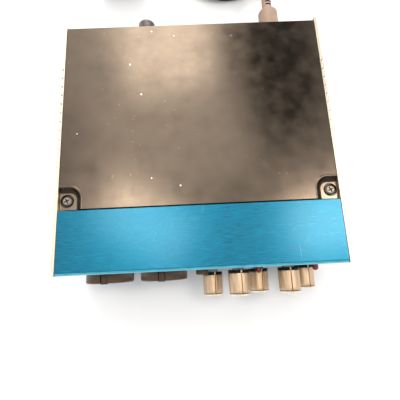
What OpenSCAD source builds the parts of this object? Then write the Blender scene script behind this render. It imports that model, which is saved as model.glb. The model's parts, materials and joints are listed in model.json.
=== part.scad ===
// Two-channel microphone preamp in a compact metal case, with its power lead and wall adaptor.
// +Z is up, the front panel faces -Y, and the origin is under the middle of the preamp, at the feet.

/* [Case] */
// Width across the plain ends of the side rails
case_w = 139.7; // [136:0.1:150]
// Depth of the side rails
case_d = 134.5; // [132:0.5:150]
// Height of the case without its feet
case_h = 44; // [43:0.5:50]
// Height that the rubber feet add
foot_h = 3; // [2.5:0.5:6]
// Thickness of every panel and cover
plate_t = 2; // [1.6:0.1:2.4]
// Depth of the blue strip on top of the case
strip_d = 30.3; // [28:0.1:32]
// Thickness of the side rails' outer wall
rail_lip_t = 1.4; // [1:0.1:1.8]
// Number of upright grooves in each side rail
groove_count = 16; // [4:1:17]
// Distance from groove to groove
groove_pitch = 5; // [4:0.1:5.4]

/* [Front controls] */
// Distance between neighbouring knobs across the panel
knob_pitch = 12.8; // [12.4:0.1:13.2]
// Diameter of a knob
knob_d = 10.8; // [10:0.1:12]
// Distance from the front panel to the end of a knob
knob_reach = 13.4; // [12.5:0.1:16]
// Diameter of the round face of a combo jack
combo_face_d = 24.4; // [22:0.1:25]
// Distance that a combo jack stands out of the front panel
combo_reach = 4.7; // [3:0.1:6]
// Radius of a jack's hole for a 6.35 mm plug
jack_bore_r = 3.25; // [3.2:0.01:3.3]
// Travel of the push button
button_travel = 1.8; // [1:0.1:2]
// Travel of a combo jack's release tab
latch_travel = 1.5; // [1:0.1:2]

/* [Rear] */
// Distance that a rear jack's threaded neck reaches past the side rails
neck_reach = 9; // [6:0.5:10]
// Diameter of the power plug's hood
hood_d = 12; // [10:0.5:13]
// Distance from the rear panel to the hood's shoulder
hood_len = 25; // [20:0.5:28]

/* [Power lead] */
// Diameter of the lead
cord_d = 4; // [3:0.5:4]
// Radius of the coil at the middle of its turns
coil_r = 24; // [20:1:24]
// Number of turns side by side in the coil
coil_lanes = 3; // [2:1:3]
// Number of layers in the coil
coil_layers = 4; // [2:2:4]

/* [Hidden] */
$fn = 48;
bore_fn = 72;
channels = [1, 2];
knobs = [1, 2, 3, 4, 5];

// Heights
base_z = foot_h;
top_z = foot_h + case_h;
floor_z = base_z + plate_t;
roof_z = top_z - plate_t;
mid_z = top_z - 22.7;
low_z = top_z - 31.5;
high_z = top_z - 16.8;

// Widths
lip_in_x = case_w / 2 - rail_lip_t;
cover_x = lip_in_x - 0.3;
web_t = 2.35;
web_in_x = lip_in_x - web_t;
fin_proud = 0.5;
groove_w = 2.3;
groove_depth = 1.4;
first_groove_y = 30.6;
fin_margin = 1.6;

// Depths, measured back from the front panel's face
cover_gap = 0.7;
rear_out_y = case_d - 2.1;
rear_in_y = rear_out_y - plate_t;
neck_end_y = case_d + neck_reach;
front_flange_d = 12;

// How much further out each knob sits on its shaft, and how far clockwise of upright its pointer is
knob_seat = [1.2, 0.4, 0.5, 0.2, -0.4];
pointer_turn = [12, 8, 12, -3, 12];
knob_x = [for (i = [0:4]) 5.6 + i * knob_pitch];
knob_z = [low_z, high_z, low_z, high_z, low_z];
front_most = knob_reach + knob_seat[0];
front_y = (front_most - neck_end_y) / 2;

// Front parts
combo_x = [-48.8, -20.4];
lamp_x = [29.2, 59];
lamp_z = top_z - 19;
lamp_r = 1.5;
lamp_out = 3.3;
button_x = -0.3;
button_d = 6.2;
button_out = 2.7;
button_stem_end_y = 8.5;
latch_end_y = 7;
shaft_r = 3;
shaft_flat = 1.5;
shaft_end_y = -11;
shaft_seat_y = 9.3;
pot_front_y = 2.3;
pot_back_y = 11.5;
board_t = 1.6;
skirt_gap = 0.7;
skirt_t = 1.45;
core_hub_r = 4.4;
knob_wall_end = 1.1;
panel_hole_r = 3.6;

// Corner pockets of the top cover and their screws
pocket_d = 11;
pocket_w = 10.8;
pocket_r = 6;
pocket_floor_t = 2;
pocket_screw_x = 64.7;
pocket_screw_y = 35.5;
screw_seat_drop = 0.9;
// Hooks under the cover's back edge, which catch behind the rear panel
hook_x = [-56, 6];

// Rear parts
xlr_x = [-49, 0];
xlr_flange_w = 26;
xlr_flange_h = 31;
xlr_flange_t = 2;
xlr_cavity_r = 9.6;
xlr_barrel_r = 11.8;
xlr_back_y = 116;
xlr_pin_r = 1.2;
xlr_pin_circle_r = 4.6;
xlr_screw_r = 1.3;
xlr_screw_x = 10;
xlr_screw_z = 12.5;
rear_jack_x = -26.3;
rear_jack_z = [top_z - 10.5, top_z - 33];
neck_r = 4.6;
rocker_x = 25;
rocker_swing = 8;
rocker_axle_r = 0.9;
power_x = 49.5;
power_z = top_z - 21;
rear_screw_x = 65.3;
rear_screw_z = [9.5, 40.5];

// Underside: every screw runs up into a rail lug or a foot
lug_y = [6, 36, 118];
lug_in_x = 61.9;
lug_screw_x = 64.7;
foot_x = 55;
foot_y = [23, 112];
foot_r = 5;

// Boards
board_z = floor_z + 5;
board_top_z = board_z + board_t;
board_post_x = 54;
board_post_y = [33, 94];

// Power lead: hood, strain relief, route and coil
hood_start_y = rear_out_y + 2.6;
hood_shoulder_y = rear_out_y + hood_len;
hood_end_y = hood_shoulder_y + 4;
relief_end_y = hood_end_y + 22.5;
cord_pitch = cord_d * 1.05;
coil_x = 27;
coil_near_y = 193.8;
coil_half_w = (cord_pitch * (coil_lanes - 1) + cord_d) / 2;
coil_y = coil_near_y + coil_r + coil_half_w;
coil_h = cord_pitch * (coil_layers - 1) + cord_d;
adaptor_x = [-66, -34];
adaptor_y = [203, 251];
adaptor_h = 26;
adaptor_corner_r = 3;
adaptor_relief_y = 241;
adaptor_relief_z = 5.5;
adaptor_relief_x = adaptor_x[1] + 9;
blade_pitch = 12.7;
blade_t = 1.5;
blade_w = 6.3;
blade_len = 16;
// The stretch from the strain relief to the coil, and the one from the coil to the wall adaptor
lead_route = [[49.5, 184, 26], [49.5, 190, 25.8], [49.7, 196, 24.7], [50.2, 202, 22.4], [51.2, 208, 19.2],
              [52.6, 212.6, 16.7], [54.1, 216.3, 14.9]];
tail_route = [[34.3, 251.2, 2], [27, 252.4, 2], [20, 252.2, 2], [13, 250.8, 2], [6, 248.6, 2],
              [-1, 246.1, 2], [-8, 243.7, 2.4], [-15, 241.9, 3.6], [-20, 241.1, 4.8], [-25, 241, 5.5]];
cord_sides = 8;

module in_case() translate([0, front_y, 0]) children();
module rod_y(r, y0, y1, x = 0, z = 0, fn = 48)
    translate([x, y0, z]) rotate([-90, 0, 0]) cylinder(r = r, h = y1 - y0, $fn = fn);
module block(low, high) translate(low) cube(high - low);
module cone_y(r0, r1, y0, y1, x, z)
    translate([x, y0, z]) rotate([-90, 0, 0]) cylinder(r1 = r0, r2 = r1, h = y1 - y0);
module spun_y(x, y, z) translate([x, y, z]) rotate([-90, 0, 0]) rotate_extrude($fn = 64) children();

// A plate with round corners, drawn in the plane across Y
module rounded_y(w, h, r, y0, y1, x, z)
    translate([x, y1, z]) rotate([90, 0, 0]) linear_extrude(y1 - y0) {
        square([w - 2 * r, h], center = true);
        square([w, h - 2 * r], center = true);
        for (sx = [-1, 1], sz = [-1, 1])
            translate([sx * (w / 2 - r), sz * (h / 2 - r)]) circle(r = r);
    }

// A pan-head screw with a cross recess, its head on +Z and its seat at z = 0
module pan_screw(r, length, head_r, head_h) {
    difference() {
        union() {
            cylinder(r = r, h = length, $fn = 32);
            translate([0, 0, length]) cylinder(r = head_r, h = head_h * 0.55);
            translate([0, 0, length + head_h * 0.55])
                cylinder(r1 = head_r, r2 = head_r * 0.7, h = head_h * 0.45);
        }
        for (turn = [0, 90])
            rotate([0, 0, turn + 25]) translate([-head_r * 0.55, -head_r * 0.11, length + head_h * 0.3])
                cube([head_r * 1.1, head_r * 0.22, head_h]);
    }
}

module groove_cuts() {
    for (i = [0:groove_count - 1])
        translate([case_w / 2 + fin_proud, first_groove_y + i * groove_pitch, base_z - 1])
            linear_extrude(case_h + 2)
                polygon([[0.1, 0], [0.1, groove_w],
                         [-groove_depth, groove_w * 0.6], [-groove_depth, groove_w * 0.4]]);
}

module side_rail() {
    fin_y0 = first_groove_y - fin_margin;
    fin_y1 = first_groove_y + (groove_count - 1) * groove_pitch + groove_w + fin_margin;
    lug_half_d = 4;
    post_in_x = 62.4;
    in_case() difference() {
        union() {
            block([lip_in_x, 0, base_z], [case_w / 2, case_d, top_z]);
            block([case_w / 2 - 0.1, fin_y0, base_z], [case_w / 2 + fin_proud, fin_y1, top_z]);
            block([web_in_x, plate_t, floor_z], [lip_in_x + 0.1, rear_in_y, roof_z]);
            for (y = lug_y)
                block([lug_in_x, y - lug_half_d, floor_z], [web_in_x + 0.1, y + lug_half_d, floor_z + 8]);
            block([lug_in_x, pocket_screw_y - lug_half_d, roof_z - 10],
                  [web_in_x + 0.1, pocket_screw_y + lug_half_d, roof_z - pocket_floor_t]);
            for (z = rear_screw_z)
                block([post_in_x, rear_in_y - 9, z - 3], [web_in_x + 0.1, rear_in_y, z + 3]);
        }
        groove_cuts();
        // Room for the floor of the top cover's pocket
        block([web_in_x - 1, strip_d, roof_z - pocket_floor_t],
              [lip_in_x, strip_d + cover_gap + pocket_d + 1.6, roof_z + 1]);
        translate([pocket_screw_x, pocket_screw_y, roof_z - 9]) cylinder(r = 1.5, h = 12, $fn = bore_fn);
        for (y = lug_y)
            translate([lug_screw_x, y, floor_z - 1]) cylinder(r = 1.5, h = 7, $fn = bore_fn);
        for (z = rear_screw_z) rod_y(1.5, rear_in_y - 7, rear_in_y + 1, rear_screw_x, z, bore_fn);
    }
}

module side_rail_right() { color("silver") side_rail(); }
module side_rail_left() { color("silver") mirror([1, 0, 0]) side_rail(); }

// Outline of one corner pocket, as seen from above
module pocket_outline(grow = 0) {
    x0 = cover_x - pocket_w - grow;
    y1 = strip_d + cover_gap + pocket_d + grow;
    difference() {
        translate([x0, strip_d + cover_gap - 1]) square([cover_x - x0 + 1, y1 - strip_d - cover_gap + 1]);
        difference() {
            translate([x0 - 1, y1 - pocket_r]) square([pocket_r + 1, pocket_r + 1]);
            translate([x0 + pocket_r, y1 - pocket_r]) circle(r = pocket_r);
            translate([x0 + pocket_r, y1 - pocket_r - 1]) square([1, 1]);
        }
    }
}

module top_cover() {
    color([0.12, 0.11, 0.1]) in_case() difference() {
        union() {
            difference() {
                block([-cover_x, strip_d + cover_gap, roof_z], [cover_x, rear_out_y, top_z]);
                for (side = [0, 1]) mirror([side, 0, 0])
                    translate([0, 0, roof_z - 1]) linear_extrude(plate_t + 2) pocket_outline();
            }
            for (side = [0, 1]) mirror([side, 0, 0])
                translate([0, 0, roof_z - pocket_floor_t]) linear_extrude(pocket_floor_t)
                    intersection() {
                        pocket_outline(1.5);
                        translate([0, strip_d + cover_gap]) square([cover_x, 40]);
                    }
            for (x = hook_x) block([x, rear_in_y - 2, roof_z - 6], [x + 12, rear_in_y, roof_z + 1]);
        }
        for (side = [-1, 1]) translate([side * pocket_screw_x, pocket_screw_y, 0]) {
            translate([0, 0, roof_z - 3]) cylinder(r = 1.7, h = 6, $fn = bore_fn);
            translate([0, 0, roof_z - screw_seat_drop]) cylinder(r = 3.3, h = 2, $fn = bore_fn);
        }
    }
}

module cover_screws() {
    color([0.9, 0.85, 0.75]) in_case() for (side = [-1, 1])
        translate([side * pocket_screw_x, pocket_screw_y, roof_z - screw_seat_drop - 6])
            pan_screw(1.5, 6, 2.5, 1.5);
}

module bottom_cover() {
    color([0.12, 0.11, 0.1]) in_case() difference() {
        block([-cover_x, front_flange_d + cover_gap, base_z], [cover_x, rear_out_y, floor_z]);
        for (side = [-1, 1]) {
            for (y = [lug_y[1], lug_y[2]]) translate([side * lug_screw_x, y, base_z - 1])
                cylinder(r = 1.7, h = plate_t + 2, $fn = bore_fn);
            for (y = foot_y) translate([side * foot_x, y, base_z - 1])
                cylinder(r = 1.5, h = plate_t + 2, $fn = bore_fn);
            for (y = board_post_y) translate([side * board_post_x, y, base_z - 1])
                cylinder(r = 1.5, h = plate_t + 2, $fn = bore_fn);
        }
    }
}

// Case-side screws stop just above the feet's rest, and the feet's own screws sit inside the rubber
module underside_screws() {
    color([0.75, 0.75, 0.75]) in_case() for (side = [-1, 1]) {
        for (y = lug_y)
            translate([side * lug_screw_x, y, base_z + 6]) mirror([0, 0, 1]) pan_screw(1.5, 6, 2.6, 1.4);
        for (y = foot_y)
            translate([side * foot_x, y, base_z + 1.8]) mirror([0, 0, 1]) pan_screw(1.5, 2.8, 2.6, 1.3);
    }
}

module feet() {
    color([0.1, 0.1, 0.1]) in_case() for (side = [-1, 1], y = foot_y)
        translate([side * foot_x, y, 0]) difference() {
            union() {
                cylinder(r1 = foot_r - 0.6, r2 = foot_r, h = 0.8);
                translate([0, 0, 0.8]) cylinder(r = foot_r, h = foot_h - 0.8);
            }
            translate([0, 0, -1]) cylinder(r = 3, h = foot_h, $fn = bore_fn);
            translate([0, 0, -1]) cylinder(r = 1.5, h = foot_h + 2, $fn = bore_fn);
        }
}

// Side view of the folded front panel: face, top strip and bottom flange with round bends
module front_panel_outline() {
    bend_r = 1.6;
    difference() {
        union() {
            translate([0, base_z + bend_r]) square([plate_t, case_h - 2 * bend_r]);
            translate([bend_r, roof_z]) square([strip_d - bend_r, plate_t]);
            translate([bend_r, base_z]) square([front_flange_d - bend_r, plate_t]);
            for (z = [base_z + bend_r, top_z - bend_r]) translate([bend_r, z]) circle(r = bend_r);
            translate([1, roof_z - 0.5]) square([plate_t - 1 + 0.5, 1]);
            translate([1, floor_z - 0.5]) square([plate_t - 1 + 0.5, 1]);
        }
        translate([plate_t, floor_z]) square([50, roof_z - floor_z]);
    }
}

module front_panel() {
    color([0.1, 0.58, 0.76]) in_case() difference() {
        translate([-cover_x, 0, 0]) rotate([90, 0, 90]) linear_extrude(2 * cover_x) front_panel_outline();
        for (x = combo_x) rod_y(combo_face_d / 2 + 0.15, -1, plate_t + 1, x, mid_z, bore_fn);
        for (i = [0:4]) rod_y(panel_hole_r, -1, plate_t + 1, knob_x[i], knob_z[i], bore_fn);
        rod_y(button_d / 2 + 0.3, -1, plate_t + 1, button_x, high_z, bore_fn);
        for (x = lamp_x) rod_y(lamp_r + 0.1, -1, plate_t + 1, x, lamp_z, bore_fn);
        for (side = [-1, 1]) translate([side * lug_screw_x, lug_y[0], base_z - 1])
            cylinder(r = 1.7, h = plate_t + 2, $fn = bore_fn);
    }
}

module rear_panel() {
    color([0.13, 0.12, 0.11]) in_case() difference() {
        block([-cover_x, rear_in_y, floor_z], [cover_x, rear_out_y, roof_z]);
        for (x = xlr_x) {
            rod_y(xlr_barrel_r + 0.2, rear_in_y - 1, rear_out_y + 1, x, mid_z, bore_fn);
            for (s = [-1, 1])
                rod_y(xlr_screw_r, rear_in_y - 1, rear_out_y + 1,
                      x + s * xlr_screw_x, mid_z + s * xlr_screw_z, bore_fn);
        }
        for (z = rear_jack_z) rod_y(neck_r + 0.1, rear_in_y - 1, rear_out_y + 1, rear_jack_x, z, bore_fn);
        block([rocker_x - 6.6, rear_in_y - 1, mid_z - 9.6], [rocker_x + 6.6, rear_out_y + 1, mid_z + 9.6]);
        rod_y(5.6, rear_in_y - 1, rear_out_y + 1, power_x, power_z, bore_fn);
        for (side = [-1, 1], z = rear_screw_z)
            rod_y(1.7, rear_in_y - 1, rear_out_y + 1, side * rear_screw_x, z, bore_fn);
    }
}

// Four screws hold the rear panel to the rails, and two hold each output connector
module rear_screws() {
    color([0.75, 0.75, 0.75]) in_case() {
        for (side = [-1, 1], z = rear_screw_z)
            translate([side * rear_screw_x, rear_out_y - 8, z])
                rotate([-90, 0, 0]) pan_screw(1.5, 8, 2.5, 1.6);
        for (x = xlr_x, s = [-1, 1])
            translate([x + s * xlr_screw_x, rear_out_y + xlr_flange_t - 6, mid_z + s * xlr_screw_z])
                rotate([-90, 0, 0]) pan_screw(xlr_screw_r, 6, 2.2, 1.4);
    }
}

module main_board() {
    color([0.1, 0.35, 0.15]) in_case() difference() {
        block([-60, 28, board_z], [58, 101, board_top_z]);
        for (side = [-1, 1], y = board_post_y) translate([side * board_post_x, y, board_z - 1])
            cylinder(r = 1.6, h = 4, $fn = bore_fn);
    }
}

module standoffs() {
    color([0.8, 0.65, 0.35]) in_case() for (side = [-1, 1], y = board_post_y)
        translate([side * board_post_x, y, floor_z]) {
            difference() {
                cylinder(r = 3, h = board_z - floor_z, $fn = 6);
                translate([0, 0, 1]) cylinder(r = 1.25, h = 6, $fn = bore_fn);
            }
            translate([0, 0, -plate_t]) cylinder(r = 1.5, h = plate_t);
        }
}

module board_screws() {
    color([0.75, 0.75, 0.75]) in_case() for (side = [-1, 1], y = board_post_y)
        translate([side * board_post_x, y, board_top_z - 5]) pan_screw(1.25, 5, 2.3, 1.3);
}

module control_board() {
    color([0.1, 0.35, 0.15]) in_case() block([-5, pot_back_y, 8], [64, pot_back_y + board_t, 43]);
}

// A flat cable folded from the back of the control board down to the main board
module ribbon_cable() {
    back_y = pot_back_y + board_t;
    low_bend_z = board_top_z + 5;
    color([0.6, 0.6, 0.62]) in_case() translate([20, 0, 0]) rotate([90, 0, 90]) linear_extrude(18) {
        translate([back_y, 22]) square([5, 1]);
        translate([back_y + 5, 17]) difference() {
            circle(r = 6);
            circle(r = 5);
            translate([-7, -7]) square([7, 14]);
            translate([-7, -7]) square([14, 7]);
        }
        translate([back_y + 10, low_bend_z]) square([1, 17.1 - low_bend_z]);
        translate([back_y + 15, low_bend_z]) difference() {
            circle(r = 5);
            circle(r = 4);
            translate([0, -7]) square([7, 14]);
            translate([-7, 0]) square([14, 7]);
        }
        translate([back_y + 14.9, board_top_z]) square([6, 1]);
        translate([back_y + 17, board_top_z + 0.9]) square([3.5, 3]);
    }
}

module transformers() {
    color([0.5, 0.5, 0.52]) in_case() for (x = [-46, -20]) translate([x, 50, board_top_z]) {
        cylinder(r = 10, h = 20);
        translate([0, 0, 20]) cylinder(r = 8.5, h = 1);
    }
}

module capacitors() {
    color([0.15, 0.2, 0.5]) in_case() for (x = [14, 28, 42], y = [60, 76])
        translate([x, y, board_top_z]) {
            cylinder(r = 5, h = 15);
            translate([0, 0, 15]) cylinder(r = 4.2, h = 0.6);
        }
}

module amplifier_chips() {
    color([0.08, 0.08, 0.08]) in_case() for (x = [-46, -20, 8, 26])
        translate([x, 88, board_top_z]) block([-5, -3.2, 0.8], [5, 3.2, 4.2]);
    color([0.08, 0.08, 0.08]) in_case() for (x = [-46, -20, 8, 26], leg = [-3.8, -1.3, 1.3, 3.8])
        translate([x + leg, 88, board_top_z]) block([-0.3, -3.9, 0], [0.3, 3.9, 1]);
}

module combo_jack(i) {
    x = combo_x[i - 1];
    bore_end_y = 20;
    color([0.1, 0.1, 0.1]) in_case() difference() {
        union() {
            spun_y(x, -combo_reach, mid_z) {
                face_r = combo_face_d / 2;
                square([face_r - 1, combo_reach + plate_t]);
                translate([0, 1]) square([face_r, combo_reach + plate_t - 1]);
                translate([face_r - 1, 1]) circle(r = 1);
            }
            block([x - 12, plate_t, mid_z - 15], [x + 12, 24, mid_z + 15]);
        }
        rod_y(jack_bore_r, -combo_reach - 1, bore_end_y, x, mid_z, bore_fn);
        // The ring that a microphone plug's barrel enters, and its three pin holes
        spun_y(x, -combo_reach - 1, mid_z) translate([7.9, 0]) square([1.8, 16]);
        for (turn = [30, 150, 270])
            rod_y(1.3, -combo_reach - 1, 12, x + 5.6 * cos(turn), mid_z + 5.6 * sin(turn), 32);
        // The slot that the release tab slides back in
        block([x - 1.8, -combo_reach - 1, mid_z + 10],
              [x + 1.8, latch_end_y + latch_travel + 0.5, mid_z + 15.5]);
    }
}

module combo_latch(i) {
    x = combo_x[i - 1];
    color([0.2, 0.2, 0.2]) in_case() {
        block([x - 1.6, -combo_reach - 0.3, mid_z + 10.2], [x + 1.6, -combo_reach + 1, mid_z + 11.7]);
        block([x - 1.6, -combo_reach + 1, mid_z + 10.2], [x + 1.6, latch_end_y, mid_z + 11.4]);
    }
}

module level_lamp(i) {
    flange_y = plate_t + 0.1;
    color([0.75, 0.05, 0.08]) in_case() {
        spun_y(lamp_x[i - 1], -lamp_out, lamp_z) {
            intersection() {
                translate([0, lamp_r]) circle(r = lamp_r);
                square([lamp_r, lamp_r]);
            }
            translate([0, lamp_r]) square([lamp_r, lamp_out + flange_y]);
            translate([0, lamp_out + flange_y]) square([lamp_r + 0.4, 3]);
        }
        for (s = [-1, 1]) rod_y(0.35, plate_t + 2, pot_back_y, lamp_x[i - 1] + s * 0.9, lamp_z, 16);
    }
}

module phantom_button() {
    color([0.55, 0.5, 0.45]) in_case() {
        spun_y(button_x, -button_out, high_z) {
            square([button_d / 2 - 0.6, button_out + 2.5]);
            translate([0, 0.6]) square([button_d / 2, button_out + 1.9]);
            translate([button_d / 2 - 0.6, 0.6]) circle(r = 0.6);
        }
        rod_y(1.7, 2.4, button_stem_end_y, button_x, high_z, bore_fn);
    }
}

module phantom_switch() {
    color([0.15, 0.15, 0.15]) in_case() difference() {
        block([button_x - 4, 4.9, high_z - 4], [button_x + 4, pot_back_y, high_z + 4]);
        rod_y(1.75, 4, button_stem_end_y + button_travel + 0.6, button_x, high_z, bore_fn);
    }
}

// A shaft with a flat on its upper side in front of the bearing
module flat_shaft(y0, y1, x, z) difference() {
    rod_y(shaft_r, y0, y1, x, z, bore_fn);
    block([x - 4, y0 - 1, z + shaft_r - shaft_flat], [x + 4, y1 + 1, z + 4]);
}

module pot_shaft(i) {
    x = knob_x[i - 1];
    z = knob_z[i - 1];
    color([0.7, 0.7, 0.72]) in_case() {
        flat_shaft(shaft_end_y, 0, x, z);
        rod_y(shaft_r, 0, shaft_seat_y, x, z, bore_fn);
    }
}

module pot_body(i) {
    x = knob_x[i - 1];
    z = knob_z[i - 1];
    color([0.35, 0.4, 0.35]) in_case() difference() {
        union() {
            rod_y(panel_hole_r, pot_front_y, 5.5, x, z);
            block([x - 4.9, 5.4, z - 5.2], [x + 4.9, pot_back_y, z + 5.2]);
        }
        rod_y(shaft_r + 0.05, pot_front_y - 1, shaft_seat_y + 0.2, x, z, bore_fn);
    }
}

// Plastic insert of a knob: the skirt that shows behind the metal, and the hub on the shaft
module knob_core(i) {
    x = knob_x[i - 1];
    z = knob_z[i - 1];
    out = knob_seat[i - 1];
    skirt_y = -skirt_gap - skirt_t - out;
    color([0.08, 0.08, 0.08]) in_case() difference() {
        union() {
            rod_y(knob_d / 2, skirt_y, skirt_y + skirt_t, x, z, 64);
            rod_y(core_hub_r, -knob_reach - out + knob_wall_end, skirt_y + 0.1, x, z, 64);
        }
        flat_shaft(shaft_end_y, 1, x, z);
    }
}

module knob(i) {
    out = knob_seat[i - 1];
    length = knob_reach - skirt_gap - skirt_t;
    chamfer = 0.7;
    tip_r = knob_d / 2 - 0.2;
    color([0.8, 0.7, 0.58]) in_case() difference() {
        spun_y(knob_x[i - 1], -knob_reach - out, knob_z[i - 1])
            polygon([[0, 0], [tip_r - chamfer, 0], [tip_r, chamfer], [knob_d / 2, length],
                     [core_hub_r, length], [core_hub_r, knob_wall_end], [0, knob_wall_end]]);
        // The engraved pointer
        translate([knob_x[i - 1], -knob_reach - out, knob_z[i - 1]]) rotate([0, pointer_turn[i - 1], 0]) {
            block([-0.35, -1, 1.5], [0.35, 0.4, 8]);
            block([-0.35, -1, tip_r - 0.35], [0.35, length + 1, 8]);
        }
    }
}

module rear_jack(i) {
    z = rear_jack_z[i - 1];
    length = neck_end_y - rear_in_y + 1;
    chamfer = 1.2;
    color([0.1, 0.1, 0.1]) in_case() difference() {
        union() {
            spun_y(rear_jack_x, rear_in_y - 1, z)
                polygon([[0, 0], [neck_r, 0], [neck_r, length - chamfer], [neck_r - chamfer, length],
                         [0, length]]);
            block([rear_jack_x - 7.8, 104, z - 7.8], [rear_jack_x + 7.8, rear_in_y, z + 7.8]);
        }
        rod_y(jack_bore_r, 106, neck_end_y + 1, rear_jack_x, z, bore_fn);
    }
}

module jack_nuts() {
    color([0.7, 0.7, 0.7]) in_case() for (z = rear_jack_z) difference() {
        union() {
            rod_y(6.6, rear_out_y, rear_out_y + 0.6, rear_jack_x, z);
            rod_y(6.4, rear_out_y + 0.6, rear_out_y + 2.6, rear_jack_x, z, 6);
        }
        rod_y(neck_r, rear_out_y - 1, rear_out_y + 4, rear_jack_x, z, bore_fn);
    }
}

module xlr_out(i) {
    x = xlr_x[i - 1];
    color([0.15, 0.15, 0.16]) in_case() difference() {
        union() {
            rounded_y(xlr_flange_w, xlr_flange_h, 3, rear_out_y, rear_out_y + xlr_flange_t, x, mid_z);
            rod_y(xlr_barrel_r, xlr_back_y, rear_out_y + 0.1, x, mid_z, 64);
        }
        rod_y(xlr_cavity_r, xlr_back_y + 3, rear_out_y + 3, x, mid_z, bore_fn);
        for (turn = [30, 150, 270])
            rod_y(xlr_pin_r, xlr_back_y - 1, xlr_back_y + 4, x + xlr_pin_circle_r * cos(turn),
                  mid_z + xlr_pin_circle_r * sin(turn), bore_fn);
        for (s = [-1, 1])
            rod_y(xlr_screw_r, rear_out_y - 1, rear_out_y + 3,
                  x + s * xlr_screw_x, mid_z + s * xlr_screw_z, bore_fn);
    }
}

module xlr_pins() {
    color([0.85, 0.75, 0.4]) in_case() for (x = xlr_x, turn = [30, 150, 270])
        rod_y(xlr_pin_r, xlr_back_y - 3, rear_out_y + 0.5, x + xlr_pin_circle_r * cos(turn),
              mid_z + xlr_pin_circle_r * sin(turn), 32);
}

module rocker_frame() {
    color([0.1, 0.1, 0.1]) in_case() difference() {
        union() {
            rounded_y(15.4, 21.4, 1.5, rear_out_y, rear_out_y + 1.8, rocker_x, mid_z);
            block([rocker_x - 6.5, rear_out_y - 14, mid_z - 9.5],
                  [rocker_x + 6.5, rear_out_y + 0.1, mid_z + 9.5]);
        }
        block([rocker_x - 4.6, rear_out_y - 6, mid_z - 7.6], [rocker_x + 4.6, rear_out_y + 3, mid_z + 7.6]);
        translate([rocker_x - 5.6, rear_out_y - 1, mid_z]) rotate([0, 90, 0])
            cylinder(r = rocker_axle_r + 0.05, h = 11.2, $fn = bore_fn);
    }
}

// The paddle turns about a level axle, and its face is two flats that meet over the axle
module rocker() {
    axle_y = rear_out_y - 1;
    color([0.5, 0.05, 0.05]) in_case() translate([rocker_x, axle_y, mid_z]) {
        rotate([rocker_swing, 0, 0]) translate([-4.3, 0, 0]) rotate([90, 0, 90]) linear_extrude(8.6)
            polygon([[-1.4, -6.4], [2.6, -6.8], [3.6, 0], [2.6, 6.8], [-1.4, 6.4], [-3.4, 0]]);
        translate([-5.4, 0, 0]) rotate([0, 90, 0]) cylinder(r = rocker_axle_r, h = 10.8, $fn = bore_fn);
    }
}

module power_inlet() {
    color([0.1, 0.1, 0.1]) in_case() difference() {
        union() {
            rod_y(7.5, rear_out_y, rear_out_y + 2.6, power_x, power_z);
            rod_y(5.5, rear_out_y - 14, rear_out_y + 0.1, power_x, power_z);
        }
        rod_y(3, rear_out_y - 11, rear_out_y + 4, power_x, power_z, bore_fn);
    }
}

module power_plug() {
    color([0.72, 0.62, 0.54]) in_case() {
        rod_y(hood_d / 2, hood_start_y, hood_shoulder_y, power_x, power_z);
        cone_y(hood_d / 2, 3.1, hood_shoulder_y, hood_end_y, power_x, power_z);
        rod_y(3, rear_out_y - 9, hood_start_y, power_x, power_z, bore_fn);
    }
}

module strain_relief() {
    rib_pitch = 2.2;
    length = relief_end_y - hood_end_y;
    color([0.72, 0.62, 0.54]) in_case() difference() {
        cone_y(3, 2.5, hood_end_y, relief_end_y, power_x, power_z);
        for (i = [0:8], s = [-1, 1]) {
            y = hood_end_y + 1 + (i + (s > 0 ? 0 : 0.5)) * rib_pitch;
            mirror([0, 0, s > 0 ? 0 : 1])
                block([power_x - s * 1.4 - (s > 0 ? 0 : 4.6), y, s * power_z + 1.2],
                      [power_x - s * 1.4 + (s > 0 ? 4.6 : 0), y + 0.9, s * power_z + 4]);
        }
    }
}

// A tube along a route: one ring of points at each route point, across the way the route runs there
function unit(v) = v / norm(v);
function way(route, i) = unit(route[min(i + 1, len(route) - 1)] - route[max(i - 1, 0)]);
function side_of(along) = unit(cross(along, abs(along[2]) > 0.9 ? [1, 0, 0] : [0, 0, 1]));
function ring(route, i, r) =
    let (along = way(route, i), across = side_of(along), up = cross(across, along))
    [for (k = [0:cord_sides - 1])
        let (turn = 360 * (k + 0.5) / cord_sides) route[i] + r * (cos(turn) * across + sin(turn) * up)];
module tube(route, r) {
    points = [for (i = [0:len(route) - 1]) each ring(route, i, r)];
    last = (len(route) - 1) * cord_sides;
    walls = [for (i = [0:len(route) - 2], k = [0:cord_sides - 1])
        let (a = i * cord_sides + k, b = i * cord_sides + (k + 1) % cord_sides)
        [a, b, b + cord_sides, a + cord_sides]];
    near = [for (k = [0:cord_sides - 1]) cord_sides - 1 - k];
    far = [for (k = [0:cord_sides - 1]) last + k];
    polyhedron(points, concat(walls, [near, far]));
}

module power_cord() {
    color([0.1, 0.1, 0.1]) in_case() {
        tube(lead_route, cord_d / 2);
        tube(tail_route, cord_d / 2);
    }
}

module cord_coil() {
    bevel = 1.2;
    color([0.1, 0.1, 0.1]) in_case() translate([coil_x, coil_y, 0]) rotate_extrude($fn = 64)
        polygon([[coil_r - coil_half_w + bevel, 0], [coil_r + coil_half_w - bevel, 0],
                 [coil_r + coil_half_w, bevel], [coil_r + coil_half_w, coil_h - bevel],
                 [coil_r + coil_half_w - bevel, coil_h], [coil_r - coil_half_w + bevel, coil_h],
                 [coil_r - coil_half_w, coil_h - bevel], [coil_r - coil_half_w, bevel]]);
}

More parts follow.
